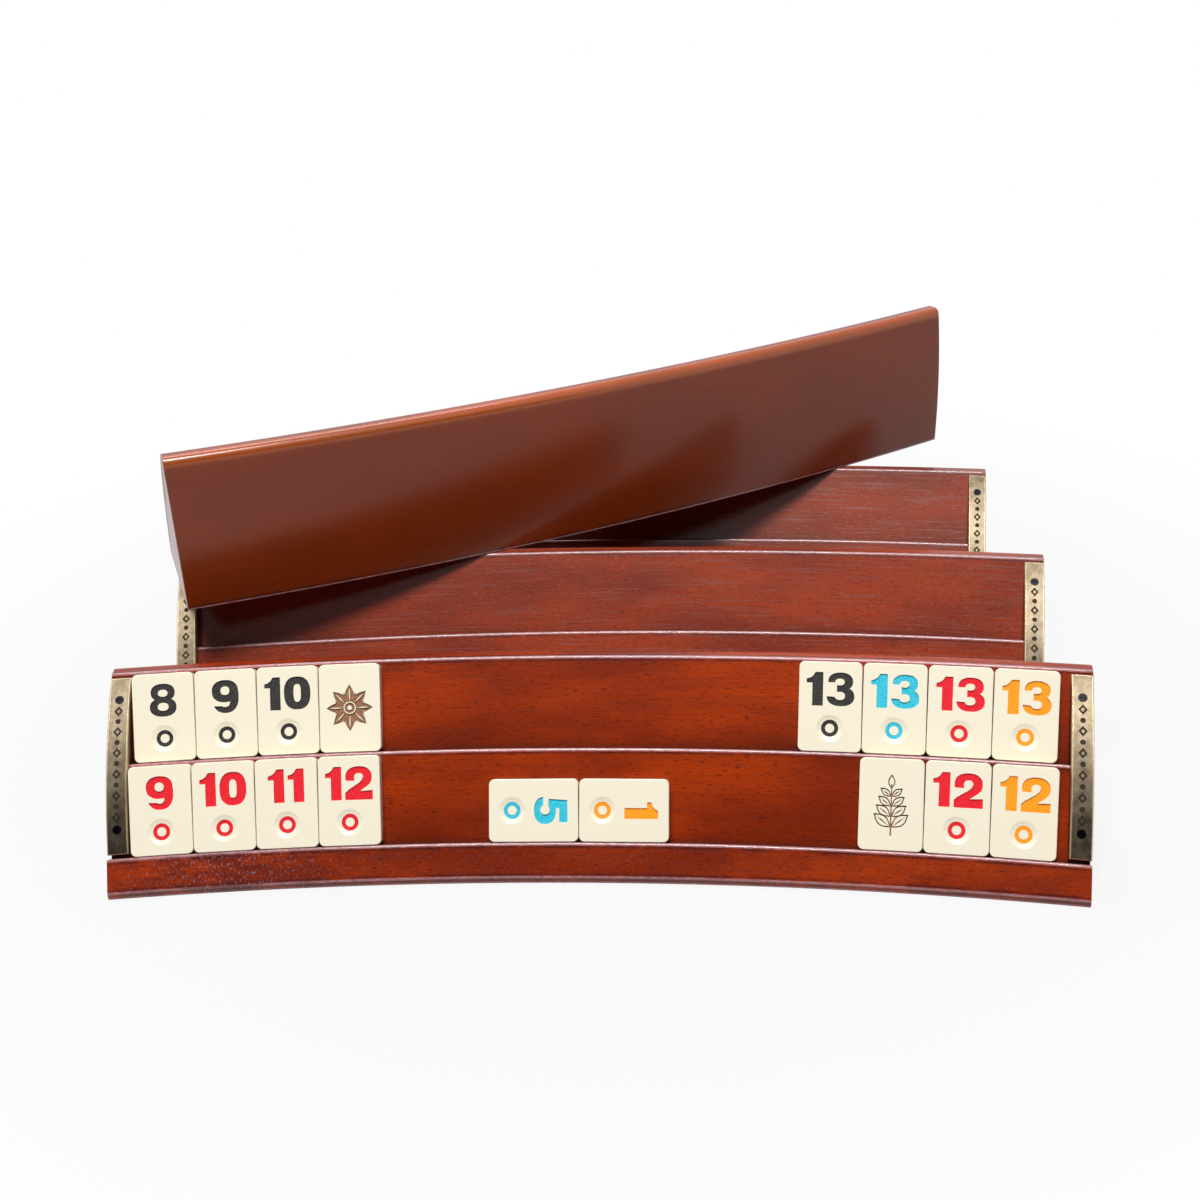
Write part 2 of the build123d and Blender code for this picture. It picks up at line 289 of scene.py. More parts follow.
def stand(points, rack):
    """Turns and shifts points of a rack to where that rack stands in the frame."""
    sideways, backwards, up, degrees = RACK_PLACES[rack]
    c, s = cos_sin(degrees)
    x, y, z = points[..., 0], points[..., 1], points[..., 2]
    return np.stack([c * x - s * y + sideways,
                     s * x + c * y + backwards - FOOT_BACK[0] / 2, z + up], axis=-1)


def drawn_in(outline, distance):
    """The closed outline moved inwards by a distance, each point along its own mean normal."""
    tangent = np.roll(outline, -1, axis=0) - np.roll(outline, 1, axis=0)
    tangent /= np.linalg.norm(tangent, axis=1)[:, None]
    inwards = np.stack([tangent[:, 1], -tangent[:, 0]], axis=1)
    return outline + inwards * distance


STATIONS = 96
ROUND_STEPS = 4
PLANK_STEP = 3.0             # metres between the planks that the four racks were cut from
SCUFF_AT, SCUFF_REACH = -156.0, 40.0
SCUFF_LEAST, SCUFF_MORE = 0.34, 0.66
# how strong the painted sheen is on each rack: a pale reflection haze, strongest on the rear rack
PAINTED_SHEEN = {"front": 0.05, "middle": 0.6, "rear": 1.35, "turned": 0.1}


def rack_wood(rack):
    """Sweeps the outline over the stations. Round an end by a quarter circle, the inset from
    the cut is r (1 - sin a), the outline is drawn in by r (1 - cos a), and the arris value,
    which places the painted highlight and painted shade of the edges, is sin 2a."""
    rings = [(s, END_ROUNDING, 0.0, 0.0) for s in np.linspace(-1, 1, STATIONS)]
    for a in np.linspace(0, math.pi / 2, ROUND_STEPS + 1)[1:]:
        end = (END_ROUNDING * (1 - math.sin(a)), END_ROUNDING * (1 - math.cos(a)), math.sin(2 * a))
        rings = [(-1.0, *end), *rings, (1.0, *end)]
    points, grain = [], []
    plank = np.array([PLANK_STEP * list(RACK_PLACES).index(rack), 0.0, 0.0])
    for share, inset, drawn, _ in rings:
        section = drawn_in(OUTLINE, drawn)
        turn = share * turn_at_cut(section[:, 0], inset)
        points.append(on_arc(section[:, 0], section[:, 1], turn))
        grain.append(np.stack([turn * FRONT_RADIUS, section[:, 0], section[:, 1]], axis=1) * MM
                     + plank)
    grain = np.concatenate(grain)
    count, width = len(rings), len(OUTLINE)
    faces = ring_faces(count, width)
    faces += [list(range(width)), list(range((count - 1) * width, count * width))[::-1]]
    sides = np.ones(count * width)
    sides[:width] = sides[-width:] = 0.0     # the cut faces get no painted highlight, painted shade or scuffs
    apron = np.tile(OUTLINE[:, 0] < LOWER_FRONT[0], count)
    along = (grain - plank)[:, 0] / MM
    scuff = SCUFF_LEAST + SCUFF_MORE * np.exp(-((along - SCUFF_AT) / SCUFF_REACH) ** 2)
    ends = np.repeat([end_arris for *_, end_arris in rings], width)
    # masks of painted shade, painted highlight and painted reflection haze, and of the apron scuffs
    values = {"grain": grain, "arris": sides * np.maximum(np.tile(ARRIS, count), ends),
              "nook_shade": sides * np.tile(NOOK_SHADE, count), "rear": sides * np.tile(REAR, count),
              "crown": sides * np.tile(CROWN, count) * float(rack == "turned"),
              "scuff": sides * apron * scuff, "painted_sheen": np.full(count * width, PAINTED_SHEEN[rack])}
    return mesh_piece(f"{rack}_rack_moulding", stand(np.concatenate(points), rack), faces, values)


woods = []
for rack in RACK_PLACES:
    wood = rack_wood(rack)
    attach(wood, f"{rack}_rack")
    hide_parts(f"{rack}_rack_wood")
    woods.append(wood)
print("mouldings:", len(woods), "of", len(wood.data.polygons), "faces each")

# %% [markdown]
# ## Engraving
# The numbers on the tiles are cut in and filled with paint, and the caps carry a sunk pattern. A
# boolean cut would do it, but it leaves ragged triangles. Here a flat sheet is triangulated with
# all outlines as forced edges. Layers of shapes say what is cut, like paper cut-outs on each
# other: the last layer over a triangle's middle decides. Cut triangles sink, and a wall drops
# wherever a cut triangle meets one that is not.

# %% layers, sheet and walls


def inside(outline, points):
    """Which points lie in a closed outline, by counting the edges that a ray to the right meets."""
    x, y = points[:, 0:1], points[:, 1:2]
    x0, y0 = outline[:, 0], outline[:, 1]
    x1, y1 = np.roll(x0, -1), np.roll(y0, -1)
    spans = (y0 > y) != (y1 > y)
    rise = np.where(y1 == y0, 1.0, y1 - y0)
    crossing = x0 + (y - y0) / rise * (x1 - x0)
    return (np.sum(spans & (x < crossing), axis=1) % 2) == 1


def cut_by(layers, points):
    """True where the last layer over a point is a cut. A layer is (outline, is it a cut)."""
    result = np.zeros(len(points), bool)
    for outline, is_cut in layers:
        result[inside(outline, points)] = is_cut
    return result


def engraved_sheet(border, layers, holes, extra):
    """Triangulates a bordered sheet. Gives flat points, triangles, the cut flags and the walls:
    the directed edges of cut triangles whose other side is not cut."""
    outlines = [border] + [outline for outline, _ in layers] + list(holes)
    points = np.concatenate(outlines + [extra])
    edges, first = [], 0
    for outline in outlines:
        loop = np.arange(len(outline))
        edges += (np.stack([loop, np.roll(loop, -1)], axis=1) + first).tolist()
        first += len(outline)
    found = delaunay_2d_cdt([Vector(p) for p in points], edges, [], 0, 1e-5)
    flat = np.array([list(p) for p in found[0]])
    triangles = np.array(found[2])
    middles = flat[triangles].mean(axis=1)
    keep = inside(border, middles)
    for hole in holes:
        keep &= ~inside(hole, middles)
    triangles, middles = triangles[keep], middles[keep]
    a, b, c = (flat[triangles[:, i]] for i in range(3))
    clockwise = np.cross(b - a, c - a) < 0
    triangles[clockwise] = triangles[clockwise][:, ::-1]
    is_cut = cut_by(layers, middles)
    sides = np.concatenate([triangles[is_cut][:, [i, (i + 1) % 3]] for i in range(3)])
    keys = {(int(p), int(q)) for p, q in sides}
    walls = [(p, q) for p, q in keys if (q, p) not in keys]
    return flat, triangles, is_cut, walls


def sheet_patch(border, layers, place, depth, holes, extra):
    """The engraved sheet in space: place(flat points, how deep) gives the points' positions.
    The last value is 1 for each face that takes paint."""
    flat, triangles, is_cut, walls = engraved_sheet(border, layers, holes, extra)
    points = np.concatenate([place(flat, 0.0), place(flat, depth)])
    below = len(flat)
    faces = triangles[~is_cut].tolist() + (triangles[is_cut] + below).tolist()
    faces += [[q, p, p + below, q + below] for p, q in walls]
    painted = np.concatenate([np.zeros((~is_cut).sum()), np.ones(is_cut.sum() + len(walls))])
    return points, faces, painted


print("engraving ready")

# %% [markdown]
# ## Shapes of the numerals
# The numerals are a heavy grotesque with flat cut ends. A text object would be quicker, but drawn
# shapes can have this set's own widths and ends. Each is a width and a few layers, in millimetres
# from its lower left corner: a squarish oval is laid down, a smaller one is cleared in its
# middle, a block opens its side.

# %% ovals, blocks and the numerals
CAP_HEIGHT = 14.4
CUT, CLEAR = True, False


def oval(cx, cy, rx, ry, power=2.25, count=44):
    """Closed superellipse: x = rx cos t and y = ry sin t, cosine and sine to 2 / power."""
    c, s = unit_ring(count)
    return np.stack([cx + rx * np.sign(c) * np.abs(c) ** (2 / power),
                     cy + ry * np.sign(s) * np.abs(s) ** (2 / power)], axis=1)


def bowl(cx, cy, rx, ry, power=2.3):
    """Layer with the cut outer oval of a numeral, which has more points than an eye."""
    return oval(cx, cy, rx, ry, power, 60), CUT


def eye(*sizes):
    """Layer that clears an oval inside a bowl."""
    return oval(*sizes), CLEAR


def block(*corners):
    """Closed polygon through typed corners."""
    return np.array(corners, float)


def bar(x0, y0, x1, y1):
    """Upright rectangle between two opposite corners."""
    return block((x0, y0), (x1, y0), (x1, y1), (x0, y1))


NUMERALS = {
    "0": (11.6, [bowl(5.8, 7.2, 5.8, 7.2, 2.45), eye(5.8, 7.2, 1.6, 3.9, 3.0)]),
    "1": (7.0, [(block((0.0, 9.75), (2.45, 9.75), (2.45, 0.0), (7.0, 0.0), (7.0, 14.4),
                       (3.7, 14.4), (2.8, 12.9), (1.6, 12.0), (0.0, 11.5)), CUT)]),
    "2": (11.9, [bowl(5.9, 9.75, 5.75, 4.65),
                 (block((-1, -1), (-1, 8.35), (3.95, 8.15), (4.3, 9.0), (7.9, 8.8),
                        (8.0, -1)), CLEAR),
                 eye(5.9, 9.6, 1.95, 1.85),
                 (block((7.6, 9.6), (7.3, 8.5), (5.9, 7.2), (1.4, 4.4), (0.1, 3.0), (0.0, 0.0),
                        (6.2, 2.4), (6.9, 4.0), (9.9, 6.1), (11.1, 7.5), (11.6, 9.3)), CUT),
                 (block((0, 0), (11.9, 0), (11.9, 4.0), (0, 3.3)), CUT)]),
    "3": (11.7, [bowl(5.8, 10.5, 5.25, 3.9), bowl(5.85, 4.15, 5.85, 4.15),
                 eye(5.5, 10.35, 1.95, 1.45), eye(5.55, 4.4, 2.2, 1.75),
                 (block((-1, 4.2), (3.9, 3.9), (4.3, 5.9), (4.3, 8.9), (4.0, 10.2),
                        (-1, 10.1)), CLEAR)]),
    "5": (11.6, [bowl(5.8, 4.75, 5.8, 4.75), (bar(-1, 4.0, 4.3, 10.0), CLEAR),
                 eye(5.6, 4.75, 2.0, 2.0),
                 (block((0.9, 6.3), (1.5, 14.4), (10.9, 14.4), (10.9, 10.9), (5.0, 10.9),
                        (4.85, 9.1), (5.6, 7.4), (4.5, 6.3)), CUT)]),
    "8": (11.6, [bowl(5.8, 10.55, 5.25, 3.85), bowl(5.8, 4.1, 5.8, 4.1),
                 eye(5.8, 10.25, 2.1, 1.55), eye(5.8, 4.3, 2.35, 1.75)]),
    "9": (11.7, [bowl(5.9, 7.2, 5.8, 7.2, 2.35),
                 (block((-1, 3.3), (3.9, 3.0), (5.2, 4.0), (5.2, 9.0), (-1, 9.0)), CLEAR),
                 eye(5.7, 4.7, 2.1, 2.1), bowl(5.75, 9.55, 5.75, 4.85),
                 eye(5.75, 9.75, 1.95, 1.9)]),
}
NUMERAL_GAP = 1.6


def number_layers(text, top):
    """Layers of a whole number, centred on the tile, with its top at the height top."""
    widths = [NUMERALS[digit][0] for digit in text]
    left = -(sum(widths) + NUMERAL_GAP * (len(text) - 1)) / 2
    layers = []
    for digit, width in zip(text, widths):
        shift = np.array([left, top - CAP_HEIGHT])
        layers += [(outline + shift, is_cut) for outline, is_cut in NUMERALS[digit][1]]
        left += width + NUMERAL_GAP
    return layers


print("numerals:", *NUMERALS)

# %% [markdown]
# ## Pictures on the two jokers
# A joker carries a picture in thin brown engraving instead of a number. One gets a star rosette
# in solid petals, the other a sprig of leaves drawn in outline. They could be drawn point by
# point, but one formula for a pointed oval, turned by an angle, keeps all petals alike.

# %% rosette and sprig


def leaf(x, y, length, width, degrees, count=18):
    """Pointed oval from (x, y): the half width is width/2 times sin(pi t), along the length t."""
    t = np.linspace(0, 1, count)
    along = np.concatenate([t, t[-2:0:-1]]) * length
    bulge = np.sin(math.pi * t) * width / 2
    across = np.concatenate([bulge, -bulge[-2:0:-1]])
    c, s = cos_sin(degrees)
    return np.stack([x + along * c - across * s, y + along * s + across * c], axis=1)


def rosette_layers():
    """Eight broad petals with pale midribs, eight narrow ones between them, and a ringed heart."""
    layers = [(leaf(0, 0, 7.2, 1.5, 45 * k + 22.5), CUT) for k in range(8)]
    for k in range(8):
        c, s = cos_sin(45 * k)
        layers += [(leaf(0, 0, 10.2, 4.3, 45 * k), CUT),
                   (leaf(3.1 * c, 3.1 * s, 5.6, 0.5, 45 * k), CLEAR)]
    return layers + [(oval(0, 0, 2.7, 2.7, 2.0), CLEAR), (oval(0, 0, 2.25, 2.25, 2.0), CUT),
                     (oval(0, 0, 1.0, 1.0, 2.0, 24), CLEAR)]


def sprig_layers():
    """A stem with pairs of outlined leaves, getting smaller towards the tip."""
    layers = []
    for k, y in enumerate((-9.6, -5.2, -0.9, 3.2)):
        length, width = 9.2 - 1.1 * k, 4.5 - 0.5 * k
        for degrees in (38, 142):
            c, s = cos_sin(degrees)
            layers += [(leaf(0, y, length, width, degrees), CUT),
                       (leaf(0.9 * c, y + 0.9 * s, length - 1.9, width - 1.0, degrees), CLEAR),
                       (leaf(1.2 * c, y + 1.2 * s, length - 3.0, 0.5, degrees), CUT)]
    return layers + [(leaf(0, 6.4, 6.2, 3.0, 90), CUT), (leaf(0, 7.2, 4.5, 2.0, 90), CLEAR),
                     (block((-0.35, -13.0), (0.35, -13.0), (0.22, 8.6), (-0.22, 8.6)), CUT)]


print("jokers:", len(rosette_layers()), "and", len(sprig_layers()), "layers")

# %% [markdown]
# ## One tile
# A tile is a rounded slab. A cube with a Bevel modifier would give the slab, but not a front that
# can be engraved, so its side is a profile carried round a rounded rectangle, and its front is
# the engraved sheet, with a round hole for the dish. The dish is turned like a bowl, a profile
# spun round its middle, with the painted ring as a groove in it.

# %% the slab, the dish and the front
PAINT_DEPTH = 0.7
NUMBER_TOP = TILE_HEIGHT / 2 - 4.6
DISH_MIDDLE = -TILE_HEIGHT / 2 + 10.0
DISH_RADIUS, DISH_DEPTH = 5.7, 1.0
RING_OUTER, RING_INNER, RING_GROOVE, RING_WALL = 3.65, 1.95, 0.25, 0.08
BOWL_RADII = np.array([DISH_RADIUS, 5.2, 4.7, 4.2, RING_OUTER])
HEART_RADII = np.array([RING_INNER, 1.4, 0.8, 0.3])
LIP = 0.25                   # flat points this far from the dish and the rim keep the front flat


def tile_outline(inwards, steps=9):
    """The tile's outline, drawn in: quarter circles joined by sides with a few points on each."""
    half_width, half_height = TILE_WIDTH / 2 - inwards, TILE_HEIGHT / 2 - inwards
    radius = TILE_CORNER - inwards
    quarters = []
    for sx, sy, start in ((1, 1, 0), (-1, 1, 90), (-1, -1, 180), (1, -1, 270)):
        t = np.radians(start + np.linspace(0, 90, steps))
        quarters.append(np.stack([sx * (half_width - radius) + radius * np.cos(t),
                                  sy * (half_height - radius) + radius * np.sin(t)], axis=1))
    loop = []
    for i, arc in enumerate(quarters):
        way = quarters[(i + 1) % 4][0] - arc[-1]
        loop += [arc, arc[-1] + way * np.linspace(0, 1, 8)[1:-1, None]]
    return np.concatenate(loop)


def slab_side(front):
    """Rings from the front's border round to the back's, each drawn in by r (1 - sin a), at a
    depth that follows r (1 - cos a) over the two rims."""
    a = np.linspace(0, math.pi / 2, 7)
    drawn, level = TILE_RIM * (1 - np.sin(a)), front - TILE_RIM * (1 - np.cos(a))
    rings = []
    for inwards, n in zip([*drawn, *drawn[::-1]], [*level, *-level[::-1]]):
        loop = tile_outline(inwards)
        rings.append(np.column_stack([loop, np.full(len(loop), n)]))
    return np.concatenate(rings), len(rings), len(loop)


def dish_patch(front, count=72):
    """Turns the dish's profile round its middle, with a square groove cut in it. The depth is
    D (1 - (r/R)^4): almost flat where the ring is, and steepest at the lip."""
    def depth_at(radius):
        return DISH_DEPTH * (1 - (radius / DISH_RADIUS) ** 4)

    radii = np.concatenate([BOWL_RADII, [RING_OUTER - RING_WALL, RING_INNER + RING_WALL],
                            HEART_RADII])
    depths = np.concatenate([depth_at(BOWL_RADII), depth_at(BOWL_RADII[-1:]) + RING_GROOVE,
                             depth_at(HEART_RADII[:1]) + RING_GROOVE, depth_at(HEART_RADII)])
    c, s = unit_ring(count)
    points = np.stack([radii[:, None] * c, DISH_MIDDLE + radii[:, None] * s,
                       front - depths[:, None] + 0 * c], axis=-1).reshape(-1, 3)
    faces = ring_faces(len(radii), count)
    faces.append([(len(radii) - 1) * count + k for k in range(count)])
    painted = np.zeros(len(faces))
    groove = len(BOWL_RADII) - 1
    painted[groove * count:(groove + 3) * count] = 1.0
    rim = points[:count, :2]
    return points, faces, painted, rim


def tile_patches(layers, with_dish):
    """Points, faces and paint of one tile, in its own frame: right, up, out of the front."""
    front = TILE_THICKNESS / 2
    side, rings, around = slab_side(front)
    patches = [(side, ring_faces(rings, around, flip=True), None),
               (side[-around:], [list(range(around))[::-1]], None)]
    holes, extra = [], tile_outline(TILE_RIM + LIP)
    if with_dish:
        *dish, rim = dish_patch(front)
        patches.append(dish)
        holes.append(rim)
        middle = (0, DISH_MIDDLE)
        extra = np.concatenate([extra, (rim - middle) * (1 + LIP / DISH_RADIUS) + middle])
    extra = extra[~cut_by([(outline, True) for outline, _ in layers], extra)]

    def place(flat, depth):
        return np.column_stack([flat, np.full(len(flat), front - depth)])

    patches.append(sheet_patch(side[:around, :2], layers, place, PAINT_DEPTH, holes, extra))
    return join_patches(patches)


def join_patches(patches):
    """Puts patches end to end in one list of points, faces and paint."""
    points, faces, painted, first = [], [], [], 0
    for patch_points, patch_faces, patch_paint in patches:
        points.append(patch_points)
        faces += [[i + first for i in face] for face in patch_faces]
        painted.append(np.zeros(len(patch_faces)) if patch_paint is None else patch_paint)
        first += len(patch_points)
    return np.concatenate(points), faces, np.concatenate(painted)


print("tile helpers ready")

# %% [markdown]
# ## Setting the tiles
# Where a tile stands could be typed, but the frame already says it. A tile's lift joint slides up
# the leaning face, so the joint's axis is the tile's up, the level direction square to it is its
# right, and their cross product points out of its front. The middle of its CAD box is its middle.
# The two tiles that lie on their sides have their top to the right. A tile's name says its paint
# and its mark.

# %% every tile on the front rack
TILE_WORDS = """black_8 black_9 black_10 joker_star red_9 red_10 red_11 red_12 blue_5 orange_1
black_13 blue_13 red_13 orange_13 joker_leaf red_12_spare orange_12""".split()
LYING = ("tile_blue_5", "tile_orange_1")
PICTURES = {"star": rosette_layers, "leaf": sprig_layers}


def tile_axes(node):
    """Right, up and outwards of a tile, from the slide joint that lifts it."""
    joint = next(j for j in frame["joints"] if j["child"] == node)
    up = np.array(joint["axis"], float)
    right = np.cross(up, [0, 0, 1])
    right /= np.linalg.norm(right)
    out = np.cross(right, up)
    return (-up, right, out) if node in LYING else (right, up, out)


def engraved_tile(node, mark):
    """The tile's mesh in the frame: middle + r right + u up + n out."""
    picture = PICTURES.get(mark)
    layers = picture() if picture else number_layers(mark, NUMBER_TOP)
    points, faces, painted = tile_patches(layers, picture is None)
    low, high = (np.array(corner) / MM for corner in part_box(node))
    placed = (low + high) / 2 + points @ np.array(tile_axes(node))
    return mesh_piece(f"{node}_engraved", placed, faces, face_values={"paint": painted})


tiles = {}
for words in TILE_WORDS:
    node = f"tile_{words}"
    tile = engraved_tile(node, words.split("_")[1])
    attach(tile, node)
    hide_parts(node)
    tiles[words] = tile
print("tiles:", *tiles)

# %% [markdown]
# ## The brass end caps
# A cap is a cast strip: bowed in front, flat where it seats on the two faces, and stepped over
# the middle ledge. A bevelled box would need booleans for its pattern. Here the front is a sheet,
# across and along its chord, laid on a circular bow, with a row of lozenges and dots between its
# two screws. A narrow slope joins it to the flat sides. The left cap is the right one mirrored,
# with its faces turned back the right way.

# %% the cap's sizes and its bowed front
CAP_WIDTH, CAP_CROWN, CAP_TIP = 9.2, 4.6, 0.8
CAP_TOP_INSET, CAP_FOOT_GAP, CAP_FOOT_SET_BACK = 1.8, 1.6, 0.9
CAP_BEVEL, CAP_LEDGE_GAP = 0.5, 0.3
SCREW_INSET = 10.5
SINK_MOUTH, SINK_THROAT, SINK_DEPTH = 1.95, 1.3, 0.8
PATTERN_DEPTH, PATTERN_PITCH, PATTERN_INSET = 0.28, 4.6, 5.2
LOZENGE, LOZENGE_HEART, DOT_RADIUS = (1.9, 2.3), (0.8, 1.0), 1.15
LOOP_ALONG, LOOP_ACROSS = 41, 5        # points of a loop round the front, up a side and between
FILL_LOOPS, FILL_COLUMNS, FILL_MARGIN, FILL_STEP = (0.9, 1.5), (-2.9, 0.0, 2.9), 2.0, 1.6
RUB_REACH = 0.45

CAP_FOOT = LOWER_FRONT + INTO_LEDGE * CAP_FOOT_SET_BACK + UP_FACE * CAP_FOOT_GAP
CAP_TOP = TOP_FRONT - UP_FACE * CAP_TOP_INSET - INTO_LEDGE * CAP_TIP
CHORD = np.linalg.norm(CAP_TOP - CAP_FOOT)
CHORD_WAY = (CAP_TOP - CAP_FOOT) / CHORD
CHORD_IN = np.array([CHORD_WAY[1], -CHORD_WAY[0]])
BOW_RADIUS = ((CHORD / 2) ** 2 + CAP_CROWN**2) / (2 * CAP_CROWN)


def on_cap(flat, depth):
    """Flat (across, along the chord) to space on the right cap, depth below the bowed front.

    The bow's centre lies R - crown behind the chord's middle, and a point at offset o from that
    middle stands on the radius whose sine is o / R. Across is an inset from the saw cut."""
    offset = flat[:, 1] - CHORD / 2
    rise = np.sqrt(BOW_RADIUS**2 - offset**2)
    centre = (CAP_FOOT + CAP_TOP) / 2 + CHORD_IN * (BOW_RADIUS - CAP_CROWN)
    out = (CHORD_WAY * offset[:, None] - CHORD_IN * rise[:, None]) / BOW_RADIUS
    section = centre + out * (BOW_RADIUS - depth)
    turn = turn_at_cut(section[:, 0], CAP_WIDTH / 2 - flat[:, 0])
    return on_arc(section[:, 0], section[:, 1], turn)


def framed_loop(drawn):
    """Loop round the cap's front, drawn in by a distance; every loop has as many points."""
    across, along = CAP_WIDTH / 2 - drawn, CHORD - 2 * drawn
    level = drawn + np.linspace(0, 1, LOOP_ALONG) * along
    width = np.linspace(-1, 1, LOOP_ACROSS + 2)[1:-1] * across
    return np.concatenate([np.column_stack(np.broadcast_arrays(x, y)) for x, y in (
        (across, level), (-width, drawn + along), (-across, level[::-1]), (width, drawn))])


def cap_pattern():
    """Lozenges with dots between them, in a row from screw to screw."""
    first, last = SCREW_INSET + PATTERN_INSET, CHORD - SCREW_INSET - PATTERN_INSET
    count = int((last - first) / PATTERN_PITCH) // 2 * 2 + 1
    layers = []
    for k, along in enumerate(np.linspace(first, last, count)):
        if k % 2:
            layers.append((oval(0, along, DOT_RADIUS, DOT_RADIUS, 2.0, 20), CUT))
        else:
            for (w, h), is_cut in ((LOZENGE, CUT), (LOZENGE_HEART, CLEAR)):
                layers.append((block((0, along - h), (w, along), (0, along + h), (-w, along)),
                               is_cut))
    return layers


def sink_patch(middle, count=32):
    """A countersink: a cone from the mouth down to the throat, closed by a disc."""
    ring = np.column_stack(unit_ring(count))
    mouth = ring * SINK_MOUTH + (0, middle)
    throat = ring * SINK_THROAT + (0, middle)
    points = np.concatenate([on_cap(mouth, 0.0), on_cap(throat, SINK_DEPTH)])
    faces = ring_faces(2, count) + [list(range(count, 2 * count))]
    return points, faces, np.ones(len(faces)), mouth


INNER, OUTER = framed_loop(CAP_BEVEL), framed_loop(0.0)
SLOPE = np.concatenate([on_cap(INNER, 0.0), on_cap(OUTER, CAP_BEVEL)])   # rubbed bright


def right_cap():
    """All patches of the right cap, as points, faces and paint."""
    sinks = [sink_patch(along) for along in (SCREW_INSET, CHORD - SCREW_INSET)]
    rows = np.arange(FILL_MARGIN, CHORD - FILL_MARGIN, FILL_STEP)
    fill = np.concatenate([framed_loop(drawn) for drawn in FILL_LOOPS]
                          + [[(x, y) for y in rows for x in FILL_COLUMNS]])
    around = len(INNER)
    front = sheet_patch(INNER, cap_pattern(), on_cap, PATTERN_DEPTH,
                        [sink[3] for sink in sinks], fill)
    back = np.array([CAP_TOP + INTO_LEDGE * CAP_TIP, MIDDLE_BACK + UP_FACE * CAP_LEDGE_GAP,
                     MIDDLE_FRONT + UP_FACE * CAP_LEDGE_GAP, LOWER_BACK + UP_FACE * CAP_FOOT_GAP])
    sides = [on_arc(back[:, 0], back[:, 1], turn_at_cut(back[:, 0], inset))
             for inset in (0.0, CAP_WIDTH)]
    body = np.concatenate([on_cap(OUTER, CAP_BEVEL)] + sides)
    right_back, left_back = np.arange(4) + around, np.arange(4) + around + 4
    left = LOOP_ALONG + LOOP_ACROSS
    faces = [list(range(LOOP_ALONG)) + right_back.tolist(),
             list(range(left, left + LOOP_ALONG)) + left_back[::-1].tolist(),
             list(range(LOOP_ALONG - 1, left + 1)) + [left_back[0], right_back[0]],
             list(range(left + LOOP_ALONG - 1, around)) + [0, right_back[3], left_back[3]]]
    faces += [[right_back[k], left_back[k], left_back[k + 1], right_back[k + 1]] for k in range(3)]
    return join_patches([*(sink[:3] for sink in sinks), front,
                         (SLOPE, ring_faces(2, around, flip=True), None), (body, faces, None)])


CAP_POINTS, CAP_FACES, CAP_PAINT = right_cap()
CAP_RUB = np.exp(-nearest(CAP_POINTS, SLOPE) / RUB_REACH)
caps = []
for rack in RACK_PLACES:
    for side, mirror in (("left", -1.0), ("right", 1.0)):
        points = stand(CAP_POINTS * np.array([mirror, 1.0, 1.0]), rack)
        faces = CAP_FACES if mirror > 0 else [face[::-1] for face in CAP_FACES]
        cap = mesh_piece(f"{rack}_rack_{side}_cap_cast", points, faces, {"rub": CAP_RUB},
                         {"paint": CAP_PAINT})
        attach(cap, f"{rack}_rack")
        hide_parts(f"{rack}_rack_{side}_cap")
        caps.append(cap)
print("caps:", len(caps), "of", len(CAP_FACES), "faces each")

# %% [markdown]
# ## Writing shader maths as expressions
# A material is a graph of nodes, and typing links one by one hides what is worked out. `Value`
# wraps one output socket, and plus, minus and times on it make Math nodes. `Finish` holds a
# material, and its method `node` makes any other node: its settings first, then its sockets, each
# a number, a colour or a Value.

# %% Value and Finish


class Value:
    """An output socket that can be used in sums."""

    def __init__(self, finish, socket):
        self.finish, self.socket = finish, socket


def math_node(operation, swapped):
    """A method of Value that makes one Math node; swapped puts the Value second."""
    def method(value, other):
        first, second = (other, value) if swapped else (value, other)
        return value.finish.node("Math", {"operation": operation}, {0: first, 1: second})
    return method


for sign, operation in (("add", "ADD"), ("sub", "SUBTRACT"), ("mul", "MULTIPLY")):
    setattr(Value, f"__{sign}__", math_node(operation, False))
    setattr(Value, f"__r{sign}__", math_node(operation, True))


